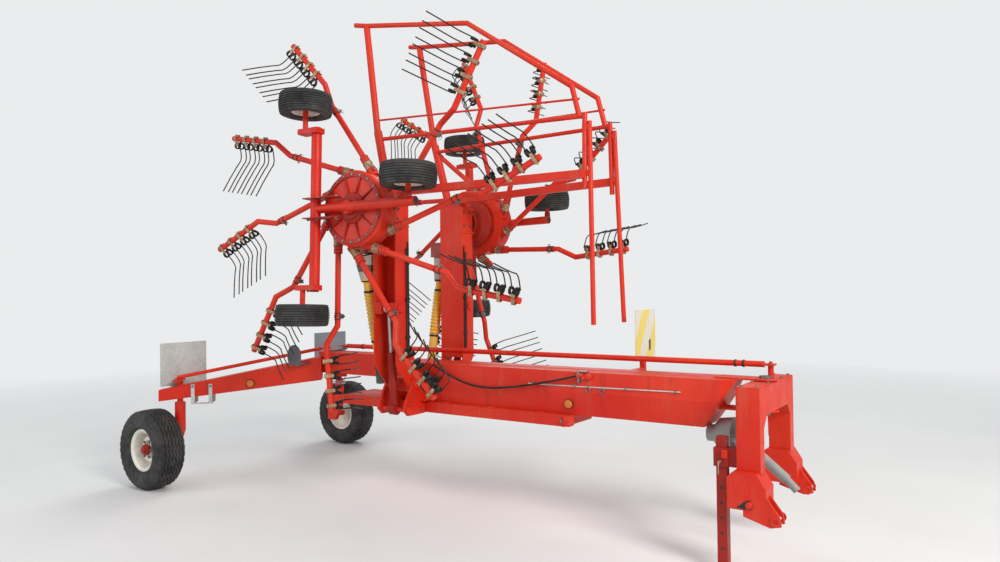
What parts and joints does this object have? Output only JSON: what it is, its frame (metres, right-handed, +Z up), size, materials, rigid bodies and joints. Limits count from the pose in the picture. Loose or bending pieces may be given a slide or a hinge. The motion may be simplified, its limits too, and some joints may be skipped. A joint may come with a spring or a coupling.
{
  "type": "twin-rotor rotary rake",
  "caption": "Tractor-towed rotary rake for hay, its two tined rotors folded up on booms beside a central beam, standing on its parking stand and rear wheels.",
  "frame": {"origin": "on the ground below the middle of the part's box, rotors folded up", "axes": "+X forward to the hitch, +Y to the machine's left, +Z up"},
  "size_m": [5.4721, 2.55, 3.9512],
  "materials": {
    "red_paint": "satin",
    "rim_paint": "satin",
    "yellow_guard": "satin",
    "zinc": "satin",
    "chrome": "polished",
    "tine_steel": "worn",
    "tyre": "matte",
    "grey_plastic": "matte",
    "black_plastic": "matte",
    "board": "satin"
  },
  "bodies": {
    "chassis": {"main_beam": "red_paint", "swivel_pin": "zinc", "rear_frame": "red_paint", "lower_rail": "red_paint", "right_boom_bracket": "red_paint", "left_boom_bracket": "red_paint", "marker_plates": "zinc", "board_arm": "red_paint", "warning_board": "board", "input_guard": "grey_plastic", "input_shaft": "black_plastic", "drive_stubs": "black_plastic", "beam_hose": "black_plastic"},
    "headstock": {"headstock": "red_paint", "hitch_yokes": "red_paint", "stand_sleeve": "red_paint"},
    "stand": {"stand_tube": "red_paint"},
    "steering_rod": {"steering_rod": "red_paint"},
    "steering_lever": {"steering_lever": "zinc"},
    "right_tie_rod": {"right_tie_rod": "red_paint"},
    "right_knuckle": {"right_knuckle": "red_paint"},
    "right_main_wheel": {"right_main_tyre": "tyre", "right_main_rim": "rim_paint"},
    "right_boom": {"right_boom": "red_paint", "right_drive_shaft": "yellow_guard", "right_guard_frame": "red_paint"},
    "right_lift_barrel": {"right_lift_barrel": "red_paint"},
    "right_lift_rod": {"right_lift_rod": "chrome"},
    "right_rotor_head": {"right_rotor_head": "red_paint", "right_runner_frame": "red_paint"},
    "right_rotor": {"right_rotor": "red_paint", "right_tines": "tine_steel"},
    "right_rear_outer_wheel": {"right_rear_outer_tyre": "tyre", "right_rear_outer_rim": "rim_paint"},
    "right_rear_inner_wheel": {"right_rear_inner_tyre": "tyre", "right_rear_inner_rim": "rim_paint"},
    "right_front_wheel": {"right_front_tyre": "tyre", "right_front_rim": "rim_paint"},
    "left_tie_rod": {"left_tie_rod": "red_paint"},
    "left_knuckle": {"left_knuckle": "red_paint"},
    "left_main_wheel": {"left_main_tyre": "tyre", "left_main_rim": "rim_paint"},
    "left_boom": {"left_boom": "red_paint", "left_drive_shaft": "yellow_guard", "left_guard_frame": "red_paint"},
    "left_lift_barrel": {"left_lift_barrel": "red_paint"},
    "left_lift_rod": {"left_lift_rod": "chrome"},
    "left_rotor_head": {"left_rotor_head": "red_paint", "left_runner_frame": "red_paint"},
    "left_rotor": {"left_rotor": "red_paint", "left_tines": "tine_steel"},
    "left_rear_outer_wheel": {"left_rear_outer_tyre": "tyre", "left_rear_outer_rim": "rim_paint"},
    "left_rear_inner_wheel": {"left_rear_inner_tyre": "tyre", "left_rear_inner_rim": "rim_paint"},
    "left_front_wheel": {"left_front_tyre": "tyre", "left_front_rim": "rim_paint"}
  },
  "joints": [
    {"name": "headstock_swivel", "type": "hinge", "parent": "chassis", "child": "headstock", "pos_m": [2.543, 0, 1.015], "axis": [0, 0, 1], "range_deg": [-30, 30]},
    {"name": "stand_slide", "type": "slide", "parent": "headstock", "child": "stand", "axis": [0, 0, 1], "range_m": [0, 0.24]},
    {"name": "steering_rod_slide", "type": "slide", "parent": "chassis", "child": "steering_rod", "axis": [1, 0, 0], "range_m": [-0.067, 0.067]},
    {"name": "steering_lever_turn", "type": "hinge", "parent": "chassis", "child": "steering_lever", "pos_m": [-1.331, 0, 1.162], "axis": [0, 0, 1], "range_deg": [-30.5, 30.5]},
    {"name": "right_tie_rod_turn", "type": "hinge", "parent": "steering_lever", "child": "right_tie_rod", "pos_m": [-1.431, 0, 1.18], "axis": [0, 0, 1], "range_deg": [-32, 32]},
    {"name": "right_steer", "type": "hinge", "parent": "chassis", "child": "right_knuckle", "pos_m": [-2.281, -0.95, 0.6], "axis": [0, 0, 1], "range_deg": [-20.5, 20.5]},
    {"name": "right_main_spin", "type": "hinge", "parent": "right_knuckle", "child": "right_main_wheel", "pos_m": [-2.391, -1.15, 0.345], "axis": [0, 1, 0], "continuous": true},
    {"name": "right_boom_fold", "type": "hinge", "parent": "chassis", "child": "right_boom", "pos_m": [-0.221, -0.3, 0.95], "axis": [1, 0, 0], "range_deg": [0, 92]},
    {"name": "right_lift_swing", "type": "hinge", "parent": "chassis", "child": "right_lift_barrel", "pos_m": [-0.221, -0.4, 0.76], "axis": [1, 0, 0], "range_deg": [0, 84.5]},
    {"name": "right_lift_stroke", "type": "slide", "parent": "right_lift_barrel", "child": "right_lift_rod", "axis": [0, -0.0624, 0.9981], "range_m": [-0.298, 0]},
    {"name": "right_rotor_tilt", "type": "hinge", "parent": "right_boom", "child": "right_rotor_head", "pos_m": [-0.24928, -0.47805, 2.29762], "axis": [0, 0, 1], "range_deg": [-5.1, 0]},
    {"name": "right_rotor_spin", "type": "hinge", "parent": "right_rotor_head", "child": "right_rotor", "pos_m": [-0.191, -0.8, 2.309], "axis": [-0.0871, 0.9956, -0.0349], "continuous": true},
    {"name": "right_rear_outer_spin", "type": "hinge", "parent": "right_rotor_head", "child": "right_rear_outer_wheel", "pos_m": [-0.54771, -0.99096, 3.11004], "axis": [0.003, -0.0348, -0.9994], "continuous": true},
    {"name": "right_rear_inner_spin", "type": "hinge", "parent": "right_rotor_head", "child": "right_rear_inner_wheel", "pos_m": [-0.54288, -1.04624, 1.52101], "axis": [0.003, -0.0348, -0.9994], "continuous": true},
    {"name": "right_front_spin", "type": "hinge", "parent": "right_rotor_head", "child": "right_front_wheel", "pos_m": [0.4175, -0.92827, 2.48942], "axis": [0.003, -0.0348, -0.9994], "continuous": true},
    {"name": "left_tie_rod_turn", "type": "hinge", "parent": "steering_lever", "child": "left_tie_rod", "pos_m": [-1.431, 0, 1.18], "axis": [0, 0, 1], "range_deg": [-32, 32]},
    {"name": "left_steer", "type": "hinge", "parent": "chassis", "child": "left_knuckle", "pos_m": [-2.281, 0.95, 0.6], "axis": [0, 0, 1], "range_deg": [-20.5, 20.5]},
    {"name": "left_main_spin", "type": "hinge", "parent": "left_knuckle", "child": "left_main_wheel", "pos_m": [-2.391, 1.15, 0.345], "axis": [0, 1, 0], "continuous": true},
    {"name": "left_boom_fold", "type": "hinge", "parent": "chassis", "child": "left_boom", "pos_m": [-0.221, 0.3, 0.95], "axis": [-1, 0, 0], "range_deg": [0, 92]},
    {"name": "left_lift_swing", "type": "hinge", "parent": "chassis", "child": "left_lift_barrel", "pos_m": [-0.221, 0.4, 0.76], "axis": [-1, 0, 0], "range_deg": [0, 84.5]},
    {"name": "left_lift_stroke", "type": "slide", "parent": "left_lift_barrel", "child": "left_lift_rod", "axis": [0, 0.0624, 0.9981], "range_m": [-0.298, 0]},
    {"name": "left_rotor_tilt", "type": "hinge", "parent": "left_boom", "child": "left_rotor_head", "pos_m": [-0.24928, 0.47805, 2.29762], "axis": [0, 0, -1], "range_deg": [-5.1, 0]},
    {"name": "left_rotor_spin", "type": "hinge", "parent": "left_rotor_head", "child": "left_rotor", "pos_m": [-0.191, 0.8, 2.309], "axis": [-0.0871, -0.9956, -0.0349], "continuous": true},
    {"name": "left_rear_outer_spin", "type": "hinge", "parent": "left_rotor_head", "child": "left_rear_outer_wheel", "pos_m": [-0.54771, 0.99096, 3.11004], "axis": [0.003, 0.0348, -0.9994], "continuous": true},
    {"name": "left_rear_inner_spin", "type": "hinge", "parent": "left_rotor_head", "child": "left_rear_inner_wheel", "pos_m": [-0.54288, 1.04624, 1.52101], "axis": [0.003, 0.0348, -0.9994], "continuous": true},
    {"name": "left_front_spin", "type": "hinge", "parent": "left_rotor_head", "child": "left_front_wheel", "pos_m": [0.4175, 0.92827, 2.48942], "axis": [0.003, 0.0348, -0.9994], "continuous": true}
  ],
  "couplings": [
    {"joint": "steering_rod_slide", "follows": "headstock_swivel", "m_per_rad": -0.125},
    {"joint": "steering_lever_turn", "follows": "headstock_swivel", "ratio": 1},
    {"joint": "right_tie_rod_turn", "follows": "headstock_swivel", "ratio": -1.05},
    {"joint": "right_steer", "follows": "headstock_swivel", "ratio": -0.667},
    {"joint": "right_lift_swing", "follows": "right_boom_fold", "ratio": 0.9162},
    {"joint": "right_lift_stroke", "follows": "right_boom_fold", "m_per_rad": -0.18485},
    {"joint": "right_rotor_tilt", "follows": "right_boom_fold", "ratio": -0.05435},
    {"joint": "left_tie_rod_turn", "follows": "headstock_swivel", "ratio": -1.05},
    {"joint": "left_steer", "follows": "headstock_swivel", "ratio": -0.667},
    {"joint": "left_lift_swing", "follows": "left_boom_fold", "ratio": 0.9162},
    {"joint": "left_lift_stroke", "follows": "left_boom_fold", "m_per_rad": -0.18485},
    {"joint": "left_rotor_tilt", "follows": "left_boom_fold", "ratio": -0.05435}
  ]
}
